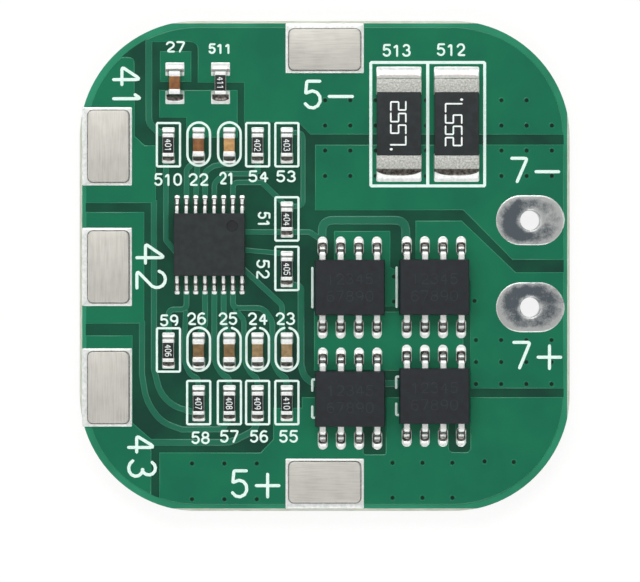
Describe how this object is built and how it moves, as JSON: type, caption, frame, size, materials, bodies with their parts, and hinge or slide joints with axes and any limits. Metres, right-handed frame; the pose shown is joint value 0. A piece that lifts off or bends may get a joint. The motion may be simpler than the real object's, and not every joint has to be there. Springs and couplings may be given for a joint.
{
  "type": "battery management board",
  "caption": "Square rounded circuit board for a lithium battery pack, with nickel cell tabs, switching transistors, current shunts and oval wire terminals.",
  "frame": {"origin": "middle of the underside, on the surface that the board lies on", "axes": "+Z out of the component side, +X towards the wire terminals, +Y towards the negative tab"},
  "size_m": [0.0344, 0.0344, 0.0031],
  "materials": {
    "laminate": "matte",
    "copper": "satin",
    "solder_mask": "gloss",
    "tinned_copper": "satin",
    "solder": "satin",
    "nickel": "brushed",
    "resistor_glass": "satin",
    "capacitor_ceramic": "matte",
    "end_plating": "satin",
    "shunt_coat": "satin",
    "moulding_compound": "matte",
    "tinned_leads": "satin"
  },
  "bodies": {
    "root": {"laminate": "laminate", "top_copper": "copper", "top_solder_mask": "solder_mask", "bottom_solder_mask": "solder_mask", "output_minus_terminal": "tinned_copper", "output_plus_terminal": "tinned_copper", "tab_solder": "solder", "chip_solder": "solder", "shunt_solder": "solder", "mosfet_solder": "solder", "protection_chip_solder": "solder", "tap_1_tab": "nickel", "tap_2_tab": "nickel", "tap_3_tab": "nickel", "negative_tab": "nickel", "positive_tab": "nickel", "resistor_1": "resistor_glass", "resistor_2": "resistor_glass", "resistor_3": "resistor_glass", "resistor_4": "resistor_glass", "resistor_5": "resistor_glass", "resistor_6": "resistor_glass", "resistor_7": "resistor_glass", "resistor_8": "resistor_glass", "resistor_9": "resistor_glass", "resistor_10": "resistor_glass", "resistor_11": "resistor_glass", "capacitor_1": "capacitor_ceramic", "capacitor_2": "capacitor_ceramic", "capacitor_3": "capacitor_ceramic", "capacitor_4": "capacitor_ceramic", "capacitor_5": "capacitor_ceramic", "capacitor_6": "capacitor_ceramic", "capacitor_7": "capacitor_ceramic", "resistor_end_caps": "end_plating", "capacitor_end_caps": "end_plating", "shunt_end_caps": "end_plating", "shunt_1": "shunt_coat", "shunt_2": "shunt_coat", "mosfet_1": "moulding_compound", "mosfet_2": "moulding_compound", "mosfet_3": "moulding_compound", "mosfet_4": "moulding_compound", "protection_chip": "moulding_compound", "mosfet_1_leads": "tinned_leads", "mosfet_2_leads": "tinned_leads", "mosfet_3_leads": "tinned_leads", "mosfet_4_leads": "tinned_leads", "protection_chip_leads": "tinned_leads"}
  },
  "joints": []
}
